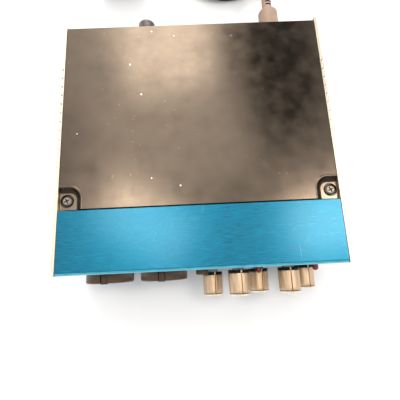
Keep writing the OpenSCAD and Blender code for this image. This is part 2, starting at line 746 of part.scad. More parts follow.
// A plug-in block that lies on its back with its two blades up, and its lead leaving towards the coil
module wall_adaptor() {
    w = adaptor_x[1] - adaptor_x[0];
    d = adaptor_y[1] - adaptor_y[0];
    middle = [(adaptor_x[0] + adaptor_x[1]) / 2, (adaptor_y[0] + adaptor_y[1]) / 2];
    color([0.1, 0.1, 0.1]) in_case() {
        translate(middle) linear_extrude(adaptor_h) {
            square([w - 2 * adaptor_corner_r, d], center = true);
            square([w, d - 2 * adaptor_corner_r], center = true);
            for (sx = [-1, 1], sy = [-1, 1])
                translate([sx * (w / 2 - adaptor_corner_r), sy * (d / 2 - adaptor_corner_r)])
                    circle(r = adaptor_corner_r);
        }
        translate([adaptor_x[1] - 0.1, adaptor_relief_y, adaptor_relief_z]) rotate([0, 90, 0])
            cylinder(r1 = 3.6, r2 = 2.6, h = adaptor_relief_x - adaptor_x[1] + 0.1);
        for (s = [-1, 1])
            translate([middle[0] + s * blade_pitch / 2, middle[1], adaptor_h])
                block([-blade_t / 2, -blade_w / 2, -0.1], [blade_t / 2, blade_w / 2, blade_len]);
    }
}

side_rail_left();
side_rail_right();
top_cover();
bottom_cover();
front_panel();
rear_panel();
cover_screws();
underside_screws();
rear_screws();
feet();
main_board();
standoffs();
board_screws();
control_board();
ribbon_cable();
transformers();
capacitors();
amplifier_chips();
phantom_button();
phantom_switch();
jack_nuts();
xlr_pins();
rocker_frame();
rocker();
power_inlet();
for (i = channels) {
    combo_jack(i);
    combo_latch(i);
    level_lamp(i);
    rear_jack(i);
    xlr_out(i);
}
for (i = knobs) {
    pot_body(i);
    pot_shaft(i);
    knob_core(i);
    knob(i);
}
power_plug();
strain_relief();
power_cord();
cord_coil();
wall_adaptor();
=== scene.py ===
"""Microphone preamp in a compact metal case, with its power lead coiled behind it and a wall adaptor."""
import json
import math

import bmesh
import bpy
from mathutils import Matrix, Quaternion, Vector


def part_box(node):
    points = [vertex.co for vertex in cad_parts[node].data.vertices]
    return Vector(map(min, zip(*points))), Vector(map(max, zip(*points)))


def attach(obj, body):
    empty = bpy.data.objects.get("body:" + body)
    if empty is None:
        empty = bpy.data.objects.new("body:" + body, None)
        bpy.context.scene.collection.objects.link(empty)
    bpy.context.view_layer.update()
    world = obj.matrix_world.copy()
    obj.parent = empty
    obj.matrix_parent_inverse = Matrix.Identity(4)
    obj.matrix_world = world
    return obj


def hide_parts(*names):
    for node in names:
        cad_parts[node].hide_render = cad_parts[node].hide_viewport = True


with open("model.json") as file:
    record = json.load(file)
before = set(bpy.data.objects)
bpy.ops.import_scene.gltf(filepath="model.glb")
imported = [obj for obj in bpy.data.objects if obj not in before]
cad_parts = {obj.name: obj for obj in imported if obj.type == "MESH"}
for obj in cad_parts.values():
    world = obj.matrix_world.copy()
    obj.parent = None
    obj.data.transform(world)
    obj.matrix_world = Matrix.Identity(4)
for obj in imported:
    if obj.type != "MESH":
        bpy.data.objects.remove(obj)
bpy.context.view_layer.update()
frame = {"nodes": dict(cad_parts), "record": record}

MM = 0.001
CHANNELS = (1, 2)
KNOBS = (1, 2, 3, 4, 5)

# Places that everything else is worked out from, in metres
PANEL_LOW, PANEL_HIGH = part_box("front_panel")
FRONT = PANEL_LOW.y
TOP = PANEL_HIGH.z
RELIEF_LOW, RELIEF_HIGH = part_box("strain_relief")
ADAPTOR_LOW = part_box("wall_adaptor")[0]
RAIL_OUTER_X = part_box("side_rail_right")[1].x
BODY_OF = {node: body for body, nodes in frame["record"]["behaviour"]["bodies"].items() for node in nodes}
SLOT_OF = {part["node"]: part["material_slot"] for part in frame["record"]["subparts"]}


# ---------------------------------------------------------------- camera

CAMERA_PLACE = Vector((-0.00188, -0.06229, 0.18761))
CAMERA_AIM = Vector((0.00013, -0.03166, 0.047))
CAMERA_ROLL = math.radians(1.1)
LENS_MM = 26.82


def make_camera():
    data = bpy.data.cameras.new("camera")
    data.lens = LENS_MM
    data.clip_start = 0.01
    data.clip_end = 20
    camera = bpy.data.objects.new("camera", data)
    bpy.context.scene.collection.objects.link(camera)
    camera.rotation_mode = "QUATERNION"
    camera.location = CAMERA_PLACE
    level = (CAMERA_AIM - CAMERA_PLACE).to_track_quat("-Z", "Y")
    camera.rotation_quaternion = level @ Quaternion((0, 0, 1), CAMERA_ROLL)
    bpy.context.scene.camera = camera


make_camera()


# ---------------------------------------------------------------- finishes

class Finish:
    """A material, its Principled shader, and short ways to add patterns to it."""

    def __init__(self, name, colour, roughness, metallic=0.0, **constants):
        self.material = bpy.data.materials.new(name)
        self.material.use_nodes = True
        self.tree = self.material.node_tree
        self.shader = self.tree.nodes["Principled BSDF"]
        self.shader.inputs["Base Color"].default_value = (*colour, 1)
        self.shader.inputs["Roughness"].default_value = roughness
        self.shader.inputs["Metallic"].default_value = metallic
        for socket, value in constants.items():
            self.shader.inputs[socket.replace("_", " ")].default_value = value
        self.place = self.add("ShaderNodeTexCoord").outputs["Object"]
        self.colour = None
        self.normal = None

    def add(self, kind, settings=None, **inputs):
        node = self.tree.nodes.new(kind)
        for key, value in (settings or {}).items():
            setattr(node, key, value)
        for key, value in inputs.items():
            socket = node.inputs[key.replace("_", " ")]
            if isinstance(value, bpy.types.NodeSocket):
                self.tree.links.new(value, socket)
            else:
                socket.default_value = value
        return node

    def noise(self, size, stretch=(1, 1, 1), detail=4.0, shift=0.0):
        """Noise whose grains are about that size in metres, drawn out along an axis by stretch."""
        scale = [1 / (size * s) for s in stretch]
        placed = self.add("ShaderNodeMapping", Vector=self.place, Scale=scale, Location=(shift, shift, shift))
        made = self.add("ShaderNodeTexNoise", Vector=placed.outputs[0], Scale=1.0, Detail=detail)
        return made.outputs["Fac"]

    def specks(self, spacing, share, shift=0.0):
        """1 on a small round speck and 0 off it. Specks are about spacing apart and share times that wide."""
        placed = self.add("ShaderNodeMapping", Vector=self.place, Location=(shift, shift, shift))
        cells = self.add("ShaderNodeTexVoronoi", Vector=placed.outputs[0], Scale=1 / spacing)
        return self.ramp(cells.outputs["Distance"], share, share * 0.6)

    def ramp(self, value, low, high, to_low=0.0, to_high=1.0):
        """Value stretched so that low becomes to_low and high becomes to_high."""
        made = self.add("ShaderNodeMapRange", Value=value, From_Min=low, From_Max=high,
                        To_Min=to_low, To_Max=to_high)
        return made.outputs["Result"]

    def tint(self, amount, colour):
        """Blends the colour so far towards this one by amount."""
        mix = self.tree.nodes.new("ShaderNodeMix")
        mix.data_type = "RGBA"
        under = self.colour or self.shader.inputs["Base Color"].default_value
        for index, value in ((0, amount), (6, under), (7, (*colour, 1))):
            if isinstance(value, bpy.types.NodeSocket):
                self.tree.links.new(value, mix.inputs[index])
            else:
                mix.inputs[index].default_value = value
        self.colour = mix.outputs[2]
        self.tree.links.new(self.colour, self.shader.inputs["Base Color"])
        return self

    def roughen(self, value, low, high):
        self.tree.links.new(self.ramp(value, 0.3, 0.7, low, high), self.shader.inputs["Roughness"])
        return self

    def bump(self, value, depth, strength=1.0):
        """Relief of that depth in metres, on top of any relief so far."""
        node = self.add("ShaderNodeBump", Height=value, Distance=depth, Strength=strength)
        if self.normal:
            self.tree.links.new(self.normal, node.inputs["Normal"])
        self.normal = node.outputs[0]
        self.tree.links.new(self.normal, self.shader.inputs["Normal"])
        return self

    def brushed(self, around="X"):
        """Highlights drawn out round that axis, as on metal brushed along it."""
        tangent = self.add("ShaderNodeTangent", {"direction_type": "RADIAL", "axis": around})
        self.tree.links.new(tangent.outputs[0], self.shader.inputs["Tangent"])
        return self


def satin_black(name="cover_black", colour=(0.127, 0.100, 0.077)):
    """Black baked finish with a strong satin sheen, a fine grain, dust specks and rubbed patches."""
    f = Finish(name, colour, 0.2, 1.0)
    f.tint(f.ramp(f.noise(0.03, detail=6.0), 0.35, 0.7, 0.0, 0.2), [c * 1.2 for c in colour])
    f.tint(f.ramp(f.noise(0.009, detail=9.0, shift=9.0), 0.45, 0.75, 0.0, 0.3), [c * 0.6 for c in colour])
    f.tint(f.specks(0.011, 0.045), (0.9, 0.84, 0.74))
    f.tint(f.specks(0.0045, 0.05, shift=4.0), (0.34, 0.29, 0.24))
    f.roughen(f.noise(0.008, detail=8.0, shift=5.0), 0.15, 0.25)
    f.bump(f.noise(0.00035, detail=2.0), 0.00002, 0.3)
    f.bump(f.noise(0.007, detail=3.0, shift=7.0), 0.00003, 0.2)
    return f.material


def brushed_blue(name="panel_blue", colour=(0.0, 0.140, 0.235)):
    """Blue anodised aluminium, brushed along X, with fine streaks and a few pale scratches."""
    f = Finish(name, colour, 0.34, 1.0, Anisotropic=0.4, Coat_Weight=0.5, Coat_Roughness=0.2)
    f.brushed("X")
    streak = f.noise(0.00042, (12, 1, 1), detail=3.0)
    broad = f.noise(0.002, (8, 1, 1), detail=4.0, shift=5.0)
    f.tint(f.ramp(broad, 0.35, 0.7, 0.0, 0.35), [c * 1.25 for c in colour])
    f.tint(f.ramp(streak, 0.34, 0.50, 0.55, 0.0), [c * 0.70 for c in colour])
    f.tint(f.ramp(streak, 0.52, 0.68, 0.0, 0.5), [c * 1.5 + 0.003 for c in colour])
    scratch = f.noise(0.0009, (1, 26, 1), detail=2.0, shift=11.0)
    f.tint(f.ramp(scratch, 0.755, 0.775, 0.0, 0.4), (0.40, 0.62, 0.70))
    f.roughen(streak, 0.26, 0.42)
    f.bump(streak, 0.00002, 0.5)
    return f.material


def rail_metal():
    """Bright natural aluminium, drawn along Y."""
    f = Finish("rail_metal", (0.74, 0.66, 0.55), 0.42, 1.0)
    streak = f.noise(0.0004, (1, 40, 2), detail=3.0)
    f.tint(f.ramp(f.noise(0.008, detail=4.0), 0.35, 0.75, 0.0, 0.5), (0.68, 0.59, 0.48))
    f.tint(f.ramp(streak, 0.32, 0.5, 0.3, 0.0), (0.56, 0.49, 0.40))
    f.roughen(streak, 0.34, 0.50)
    f.bump(streak, 0.00001, 0.4)
    return f.material


def knob_metal(name="knob_metal", colour=(0.68, 0.50, 0.335)):
    """Satin turned aluminium with fine lengthwise lines."""
    f = Finish(name, colour, 0.38, 1.0)
    line = f.noise(0.0005, (1, 22, 1), detail=4.0)
    f.tint(f.ramp(line, 0.34, 0.52, 0.7, 0.0), [c * 0.62 for c in colour])
    f.tint(f.ramp(line, 0.56, 0.72, 0.0, 0.5), [min(1, c * 1.3) for c in colour])
    f.tint(f.ramp(f.noise(0.003, detail=4.0), 0.4, 0.75, 0.0, 0.4), [c * 0.82 for c in colour])
    f.roughen(line, 0.46, 0.32)
    f.bump(line, 0.00003, 0.5)
    return f.material


def moulded(name, colour, roughness, grain=0.0004, tinge=1.6, sheen=0.5):
    """Moulded plastic with a fine spark-eroded grain and slight unevenness."""
    f = Finish(name, colour, roughness, Specular_IOR_Level=sheen)
    fine = f.noise(grain, detail=2.0)
    uneven = f.ramp(f.noise(0.005, detail=4.0), 0.35, 0.75, 0.0, 0.7)
    f.tint(uneven, [min(1, c * tinge + 0.004) for c in colour])
    f.roughen(fine, roughness - 0.07, roughness + 0.09)
    f.bump(fine, 0.00002, 0.5)
    return f.material


def plated(name, colour, roughness):
    """Plated or plain metal with small handling marks."""
    f = Finish(name, colour, roughness, 1.0)
    marks = f.noise(0.0007, detail=4.0)
    f.tint(f.ramp(marks, 0.35, 0.6, 0.5, 0.0), [c * 0.6 for c in colour])
    f.roughen(marks, roughness + 0.12, roughness - 0.06)
    f.bump(marks, 0.00002, 0.35)
    return f.material


def lamp_red():
    """Glossy red resin with darker patches."""
    f = Finish("lamp_red", (0.22, 0.002, 0.004), 0.12, Coat_Weight=0.3, Coat_Roughness=0.05)
    f.tint(f.ramp(f.noise(0.0012, detail=2.0), 0.4, 0.7, 0.0, 0.6), (0.10, 0.0, 0.002))
    f.roughen(f.noise(0.0005, detail=2.0, shift=2.0), 0.10, 0.2)
    return f.material


def rubber(name, colour=(0.018, 0.017, 0.016), roughness=0.62):
    """Matt rubber or soft vinyl, with a faint bloom."""
    f = Finish(name, colour, roughness, Specular_IOR_Level=0.4)
    bloom = f.noise(0.004, detail=5.0)
    f.tint(f.ramp(bloom, 0.4, 0.8, 0.0, 0.6), [c * 2.2 + 0.008 for c in colour])
    f.roughen(bloom, roughness - 0.1, roughness + 0.1)
    f.bump(f.noise(0.0005, detail=3.0), 0.00004, 0.5)
    return f.material


def circuit_board():
    """Green solder resist over a pattern of copper tracks."""
    f = Finish("board_green", (0.02, 0.12, 0.05), 0.35, Specular_IOR_Level=0.6)
    cells = f.add("ShaderNodeTexBrick", Vector=f.place, Scale=220.0, Mortar_Size=0.06)
    f.tint(f.ramp(cells.outputs["Fac"], 0.0, 1.0, 0.0, 0.6), (0.03, 0.22, 0.09))
    f.tint(f.ramp(f.noise(0.002, detail=2.0), 0.62, 0.66, 0.0, 0.5), (0.05, 0.28, 0.12))
    f.roughen(f.noise(0.003), 0.28, 0.45)
    return f.material


def ribbed_cable_shaded():
    """Grey flat cable, ribbed along its wires, with painted shade in the troughs between them."""
    f = Finish("cable_grey", (0.38, 0.38, 0.40), 0.5)
    placed = f.add("ShaderNodeMapping", Vector=f.place, Scale=(1, 0.001, 0.001))
    wires = f.add("ShaderNodeTexWave", Vector=placed.outputs[0], Scale=120.0)
    # Painted shade in the troughs of the ribs
    f.tint(f.ramp(wires.outputs["Fac"], 0.0, 0.4, 0.6, 0.0), (0.2, 0.2, 0.21))
    f.roughen(f.noise(0.002), 0.42, 0.6)
    f.bump(wires.outputs["Fac"], 0.0002, 0.6)
    return f.material


FINISHES = {
    "cover_black": satin_black(),
    "panel_blue": brushed_blue(),
    "rail_metal": rail_metal(),
    "knob_metal": knob_metal(),
    "knob_black": moulded("knob_black", (0.005, 0.004, 0.003), 0.5, sheen=0.15),
    "screw_metal": plated("screw_metal", (0.27, 0.235, 0.19), 0.34),
    "jack_plastic": moulded("jack_plastic", (0.070, 0.042, 0.026), 0.34, tinge=1.4, sheen=0.3),
    "connector_metal": plated("connector_metal", (0.34, 0.34, 0.36), 0.32),
    "pin_metal": plated("pin_metal", (0.90, 0.72, 0.34), 0.2),
    "lamp_red": lamp_red(),
    "button_plastic": moulded("button_plastic", (0.080, 0.046, 0.020), 0.38, sheen=0.35),
    "tab_plastic": moulded("tab_plastic", (0.050, 0.030, 0.018), 0.4, sheen=0.3),
    "switch_plastic": moulded("switch_plastic", (0.022, 0.022, 0.022), 0.4),
    "rocker_red": moulded("rocker_red", (0.36, 0.012, 0.012), 0.3, tinge=1.3),
    "board_green": circuit_board(),
    "cable_grey": ribbed_cable_shaded(),
    "can_metal": plated("can_metal", (0.55, 0.55, 0.57), 0.35),
    "capacitor_sleeve": moulded("capacitor_sleeve", (0.02, 0.03, 0.14), 0.3),
    "chip_black": moulded("chip_black", (0.02, 0.02, 0.02), 0.55),
    "pot_case": moulded("pot_case", (0.10, 0.13, 0.10), 0.45),
    "shaft_metal": plated("shaft_metal", (0.30, 0.29, 0.28), 0.35),
    "standoff_brass": plated("standoff_brass", (0.78, 0.60, 0.28), 0.25),
    "nut_metal": plated("nut_metal", (0.74, 0.73, 0.71), 0.24),
    "foot_rubber": rubber("foot_rubber"),
    # Light warm grey for the plug, whose plastic is darker: painted sheen
    "plug_plastic": moulded("plug_plastic", (0.34, 0.235, 0.17), 0.5, tinge=1.2),
    "cord_black": rubber("cord_black", (0.02, 0.019, 0.018), 0.5),
    "adaptor_black": moulded("adaptor_black", (0.024, 0.023, 0.022), 0.48, grain=0.0006),
}
# Finishes for parts of a piece, beside the one of its slot
PAINT_WHITE = moulded("paint_white", (0.72, 0.62, 0.48), 0.5, tinge=0.9)
# Darker copy of the knob metal: painted shade in the pointer groove and in the ring groove behind the chamfer
KNOB_GROOVE_SHADE = knob_metal("knob_groove_shade", (0.26, 0.16, 0.09))
# Lighter copy of the knob metal: painted highlight on the chamfer round each knob's end
KNOB_CHAMFER_HIGHLIGHT = knob_metal("knob_chamfer_highlight", (0.95, 0.84, 0.70))
# Lighter copy of the blue finish: painted highlight on the front panel's bend
BEND_HIGHLIGHT_BLUE = brushed_blue("bend_highlight_blue", (0.10, 0.50, 0.66))
# Near-black: painted shade in the cover screws' cross recesses and the strain relief's slots
RECESS_SHADE = moulded("recess_shade", (0.010, 0.008, 0.006), 0.6, sheen=0.1)
# Darker copy of the rail metal: painted shade in the rails' grooves
RAIL_GROOVE_SHADE = plated("rail_groove_shade", (0.13, 0.10, 0.08), 0.5)
# Darker copy of the cover finish: painted shade on the pockets' walls and in the screw holes below their
# floors
POCKET_SHADE = satin_black("pocket_shade", (0.050, 0.041, 0.033))
# Lighter copy of the cover finish: painted light on the pockets' floors
POCKET_FLOOR_LIT = satin_black("pocket_floor_lit", (0.21, 0.165, 0.125))


# ---------------------------------------------------------------- mesh helpers

def new_piece(name, bm, finishes, body, slot, replaces=(), smooth_angle=35):
    """Makes a shown piece from bm, with its materials and its body. slot is not used."""
    bmesh.ops.recalc_face_normals(bm, faces=bm.faces)
    mesh = bpy.data.meshes.new(name)
    bm.to_mesh(mesh)
    bm.free()
    piece = bpy.data.objects.new(name, mesh)
    bpy.context.scene.collection.objects.link(piece)
    for finish in finishes:
        mesh.materials.append(finish)
    for face in mesh.polygons:
        face.use_smooth = True
    mesh.set_sharp_from_angle(angle=math.radians(smooth_angle))
    weighted = piece.modifiers.new("even_shading", "WEIGHTED_NORMAL")
    weighted.keep_sharp = True
    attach(piece, body)
    if replaces:
        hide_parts(*replaces)
    return piece


def cad_shape(node):
    """A node's CAD mesh with its triangles joined back into whole faces."""
    bm = bmesh.new()
    bm.from_mesh(frame["nodes"][node].data)
    bmesh.ops.remove_doubles(bm, verts=bm.verts, dist=0.002 * MM)
    bmesh.ops.dissolve_limit(bm, angle_limit=math.radians(0.6), verts=bm.verts, edges=bm.edges)
    return bm


def round_edges(bm, radius, sharper_than=40):
    """Rounds every outer edge that is sharper than an angle in degrees."""
    edges = []
    for edge in bm.edges:
        if len(edge.link_faces) != 2 or not edge.is_convex:
            continue
        if math.degrees(edge.calc_face_angle(0)) < sharper_than:
            continue
        edges.append(edge)
    bmesh.ops.bevel(bm, geom=edges, offset=radius, offset_type="OFFSET", segments=2, profile=0.5,
                    affect="EDGES", clamp_overlap=True, loop_slide=True)
    return bm


def refine(node, radius, name=None, choose=None, extra=()):
    """Stands for a CAD node with the same shape, its outer edges rounded to a radius in millimetres.

    choose(centre) picks a face's material: 0 for the one of the node's slot, 1 for the first extra one.
    """
    bm = round_edges(cad_shape(node), radius * MM)
    if choose:
        for face in bm.faces:
            face.material_index = choose(face.calc_center_median())
    slot = SLOT_OF[node]
    return new_piece(name or f"{node}_body", bm, [FINISHES[slot], *extra], BODY_OF[node], slot, [node])


def turned(profile, centre, segments, dent=None, paint=None):
    """A closed ring of a profile turned about an axis along Y.

    profile is a list of (radius, y) in metres and centre is (x, z). dent(radius, y, turn) gives a changed
    (radius, y), and paint(radius, y, turn) gives a face's material. turn is measured clockwise from upright,
    seen from the front.
    """
    bm = bmesh.new()
    rings = []
    for radius, y in profile:
        ring = []
        for k in range(1 if radius < 1e-7 else segments):
            turn = 2 * math.pi * k / segments
            r, at = dent(radius, y, turn) if dent else (radius, y)
            ring.append(bm.verts.new((centre[0] + r * math.sin(turn), at, centre[1] + r * math.cos(turn))))
        rings.append(ring)
    for (r0, y0), (r1, y1), near, far in zip(profile, profile[1:], rings, rings[1:]):
        for k in range(segments):
            corners = [near[k % len(near)], near[(k + 1) % len(near)],
                       far[(k + 1) % len(far)], far[k % len(far)]]
            corners = list(dict.fromkeys(corners))
            if len(corners) < 3:
                continue
            face = bm.faces.new(corners)
            if paint:
                face.material_index = paint((r0 + r1) / 2, (y0 + y1) / 2, 2 * math.pi * (k + 0.5) / segments)
    if len(rings[0]) > 1 and len(rings[-1]) > 1:
        for k in range(segments):
            after = (k + 1) % segments
            bm.faces.new([rings[-1][k], rings[-1][after], rings[0][after], rings[0][k]])
    return bm


def arc(centre, radius, start, end, steps):
    """Points on a round corner, as (radius, y) pairs, from one angle to another in degrees."""
    return [(centre[0] + radius * math.cos(math.radians(start + (end - start) * k / steps)),
             centre[1] + radius * math.sin(math.radians(start + (end - start) * k / steps)))
            for k in range(steps + 1)]


# ---------------------------------------------------------------- power lead

CORD_D = 4 * MM
CORD_PITCH = CORD_D * 1.05
COIL_CENTRE = Vector((27 * MM, FRONT + 224 * MM, 0))
COIL_R = 24 * MM
COIL_LANES = 3
COIL_LAYERS = 4
COIL_START = -15
COIL_TURNS = 11.25
POINTS_PER_TURN = 36
SHIFT_FROM = 120
CORNER_BULGE = 1.3 * MM
TIE_ANGLE = 190
TIE_LIFT = 0.4 * MM
# The stretches that aren't coiled, in metres; y is measured back from the front panel's face
LEAD_ROUTE = [(0.0495, 0.184, 0.026), (0.0495, 0.190, 0.0258), (0.0497, 0.196, 0.0247),
              (0.0502, 0.202, 0.0224), (0.0512, 0.208, 0.0192), (0.0526, 0.2126, 0.0167)]
TAIL_ROUTE = [(0.027, 0.2524, 0.002), (0.020, 0.2522, 0.002), (0.013, 0.2508, 0.002),
              (0.006, 0.2486, 0.002), (-0.001, 0.2461, 0.002), (-0.008, 0.2437, 0.0024),
              (-0.015, 0.2419, 0.0036), (-0.020, 0.2411, 0.0048), (-0.025, 0.241, 0.0055)]
# Angle over which the coil rises to pass over the strap, in degrees
TIE_WIDTH_ANGLE = 14
TIE_CORNER = 1.8 * MM
TIE_THICK = 0.7 * MM
TIE_HALF_W = 4 * MM
TIE_HEM = 0.3 * MM
TIE_STEPS = 6
ADAPTOR_BODY_H = 26 * MM
# Radius of the strain relief's core at the plug and at the lead, and how much of it counts as its skin
RELIEF_CORE = (3.0 * MM, 2.5 * MM)
RELIEF_SKIN = 0.3 * MM


def coil_slot(index):
    """Radius and height of a turn, by its place in the winding: inwards on top, outwards below, and so on."""
    layer, lane = divmod(index, COIL_LANES)
    if layer % 2:
        lane = COIL_LANES - 1 - lane
    outer = COIL_R + CORD_PITCH * (COIL_LANES - 1) / 2
    return outer - lane * CORD_PITCH, CORD_D / 2 + (COIL_LAYERS - 1 - layer) * CORD_PITCH


def coil_points():
    """The coil's centreline. Each turn keeps its place for a third, then shifts to the next one's."""
    points = []
    last = COIL_LANES * COIL_LAYERS - 1
    for k in range(round(COIL_TURNS * POINTS_PER_TURN) + 1):
        turn, angle = divmod(k * 360 / POINTS_PER_TURN, 360)
        part = max(0, (angle - SHIFT_FROM) / (360 - SHIFT_FROM))
        ease = (1 - math.cos(math.pi * part)) / 2
        (r0, z0), (r1, z1) = coil_slot(int(turn)), coil_slot(min(int(turn) + 1, last))
        r, z = r0 + (r1 - r0) * ease, z0 + (z1 - z0) * ease
        if z1 != z0:
            outward = 1 if r0 > COIL_R else -1
            r += outward * CORNER_BULGE * math.sin(math.pi * ease) ** 2
        way = math.radians(COIL_START + angle)
        off_tie = (COIL_START + angle - TIE_ANGLE) / TIE_WIDTH_ANGLE
        z += TIE_LIFT * math.exp(-off_tie * off_tie)
        points.append(COIL_CENTRE + Vector((r * math.cos(way), r * math.sin(way), z)))
    return points


def smooth_line(points, step=1.2 * MM):
    """Points about a step apart on a smooth curve through all the given ones."""
    line = []
    padded = [points[0] * 2 - points[1], *points, points[-1] * 2 - points[-2]]
    for a, b, c, d in zip(padded, padded[1:], padded[2:], padded[3:]):
        count = max(2, round((c - b).length / step))
        for k in range(count):
            t = k / count
            line.append((b * 2 + (c - a) * t + (a * 2 - b * 5 + c * 4 - d) * t * t
                         + (b * 3 - a - c * 3 + d) * t ** 3) / 2)
    return [*line, points[-1]]


def cord_line():
    shift = Vector((0, FRONT, 0))
    lead = [Vector(p) + shift for p in LEAD_ROUTE]
    tail = [Vector(p) + shift for p in TAIL_ROUTE]
    return smooth_line(lead + coil_points() + tail)


def make_tie():
    """A soft strap round the coil's section, thin underneath so that the coil still lies flat."""
    half_w = (CORD_PITCH * (COIL_LANES - 1) + CORD_D) / 2 + 0.25 * MM
    low, high = TIE_LIFT * 0.9, CORD_PITCH * (COIL_LAYERS - 1) + CORD_D + TIE_LIFT + 0.2 * MM
    inner = []
    for cx, cz, start in ((half_w, high, 0), (-half_w, high, 90), (-half_w, low, 180), (half_w, low, 270)):
        corner_x = cx - math.copysign(TIE_CORNER, cx)
        corner_z = cz + (TIE_CORNER if cz == low else -TIE_CORNER)
        for k in range(TIE_STEPS + 1):
            a = math.radians(start + 90 * k / TIE_STEPS)
            inner.append(Vector((corner_x + TIE_CORNER * math.cos(a), corner_z + TIE_CORNER * math.sin(a))))
    middle = Vector((0, (low + high) / 2))
    angle = math.radians(TIE_ANGLE)
    out = Vector((math.cos(angle), math.sin(angle), 0))
    along = Vector((-math.sin(angle), math.cos(angle), 0))
    # Place along the coil and share of the full thickness, from hem to hem and back along the inside
    hems = [(-TIE_HALF_W, 0.25), (-TIE_HALF_W + TIE_HEM, 1), (TIE_HALF_W - TIE_HEM, 1), (TIE_HALF_W, 0.25),
            (TIE_HALF_W, 0), (-TIE_HALF_W, 0)]
    bm = bmesh.new()
    rings = []
    for shift, share in hems:
        ring = []
        for p in inner:
            away = (p - middle).normalized()
            underneath = p.y < middle.y and abs(away.y) > 0.75
            q = p + away * TIE_THICK * share * (0.5 if underneath else 1)
            q.y = max(q.y, 0.02 * MM)
            place = COIL_CENTRE + out * (COIL_R + q.x) + along * shift + Vector((0, 0, q.y))
            ring.append(bm.verts.new(place))
        rings.append(ring)
    count = len(inner)
    for near, far in zip(rings, rings[1:] + rings[:1]):
        for k in range(count):
            bm.faces.new([near[k], near[(k + 1) % count], far[(k + 1) % count], far[k]])
    strap = rubber("strap_black", (0.03, 0.03, 0.032), 0.75)
    return new_piece("coil_tie", bm, [strap], "case", "cord_black")


def make_cord():
    line = cord_line()
    curve = bpy.data.curves.new("power_lead", "CURVE")
    curve.dimensions = "3D"
    curve.bevel_depth = CORD_D / 2
    curve.bevel_resolution = 5
    curve.use_fill_caps = True
    spline = curve.splines.new("POLY")
    spline.points.add(len(line) - 1)
    for point, place in zip(spline.points, line):
        point.co = (*place, 1)
    spline.use_smooth = True
    curve.materials.append(FINISHES["cord_black"])
    cord = bpy.data.objects.new("power_lead", curve)
    bpy.context.scene.collection.objects.link(cord)
    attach(cord, "case")
    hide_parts("power_cord", "cord_coil")
    return cord


def on_adaptor_blade(centre):
    return 1 if centre.z > ADAPTOR_LOW.z + ADAPTOR_BODY_H + 0.05 * MM else 0


def in_relief_slot(centre):
    """Whether a face is in one of the strain relief's slots, so well inside its core, where it is painted
    near-black as shade.
    """
    middle = (RELIEF_LOW + RELIEF_HIGH) / 2
    part = (centre.y - RELIEF_LOW.y) / (RELIEF_HIGH.y - RELIEF_LOW.y)
    core = RELIEF_CORE[0] + (RELIEF_CORE[1] - RELIEF_CORE[0]) * part
    return 1 if math.hypot(centre.x - middle.x, centre.z - middle.z) < core - RELIEF_SKIN else 0


cord = make_cord()
tie = make_tie()
adaptor = refine("wall_adaptor", 0.35, choose=on_adaptor_blade, extra=[FINISHES["nut_metal"]])
relief = refine("strain_relief", 0.1, choose=in_relief_slot, extra=[RECESS_SHADE])


# ---------------------------------------------------------------- case

POCKET_IN_X = 57.35 * MM
POCKET_OUT_X = 68.15 * MM
POCKET_LOW_Y = FRONT + 31.02 * MM
POCKET_HIGH_Y = FRONT + 42.0 * MM
POCKET_R = 6 * MM
POCKET_DEPTH = 2 * MM
POCKET_STEPS = 16
# Depth of the deepest face in a pocket, where its screw stands
SCREW_SEAT_DEPTH = 3 * MM
# Section of a pocket's rim and wall, in millimetres: distance out from its edge, and height above the case
POCKET_SECTION = [(0.95, -0.02), (0.75, 0.07), (0.45, 0.13), (0.15, 0.11), (-0.1, -0.02), (-0.35, -0.3),
                  (-0.7, -0.75), (-1.2, -1.25), (-1.7, -1.65), (-2.2, -1.9), (-2.6, -1.97)]
POCKET_UNDERSIDE = [(-2.6, -2.2), (0.95, -2.2)]
# First stretch of that section that belongs to the wall, not to the rim
FIRST_WALL_STRETCH = 4
# Where the rails' grooves start and end, back from the front, and how far in from the outside their faces lie
GROOVES_START = 30.4 * MM
GROOVES_END = 108.1 * MM
GROOVE_INWARD = (0.4 * MM, 1.6 * MM)
# Heights between which a rail has no top, underside or rounded edge
RAIL_SIDE_LOW = 4 * MM
RAIL_SIDE_HIGH = TOP - 0.5 * MM
# Height and depth of the front panel's bend, which is painted lighter as a highlight
BEND_DOWN = 1.2 * MM
BEND_BACK = 1.1 * MM
COVER_SCREW_R = 2.5 * MM
CROSS_R = 1.45 * MM
CROSS_DEPTH = 1.2 * MM


def make_pocket_wall(side):
    """The rolled rim and sloping wall that run round one corner pocket of the top cover, with painted shade
    on the wall.
    """
    edge = [(Vector((POCKET_IN_X, POCKET_LOW_Y)), Vector((-1, 0)))]
    corner = Vector((POCKET_IN_X + POCKET_R, POCKET_HIGH_Y - POCKET_R))
    for k in range(POCKET_STEPS + 1):
        a = math.radians(180 - 90 * k / POCKET_STEPS)
        out = Vector((math.cos(a), math.sin(a)))
        edge.append((corner + out * POCKET_R, out))
    edge.append((Vector((POCKET_OUT_X, POCKET_HIGH_Y)), Vector((0, 1))))
    bm = bmesh.new()
    rings = []
    for place, out in edge:
        ring = []
        for away, height in POCKET_SECTION + POCKET_UNDERSIDE:
            p = place + out * away * MM
            ring.append(bm.verts.new((side * p.x, p.y, TOP + height * MM)))
        rings.append(ring)
    count = len(rings[0])
    for near, far in zip(rings, rings[1:]):
        for k in range(count):
            face = bm.faces.new([near[k], near[(k + 1) % count], far[(k + 1) % count], far[k]])
            # The wall's faces take the painted shade
            face.material_index = 1 if FIRST_WALL_STRETCH <= k < len(POCKET_SECTION) - 1 else 0
    bm.faces.new(rings[0])
    bm.faces.new(rings[-1])
    name = "pocket_wall_right" if side > 0 else "pocket_wall_left"
    new_piece(name, bm, [FINISHES["cover_black"], POCKET_SHADE], "case", "cover_black", smooth_angle=60)


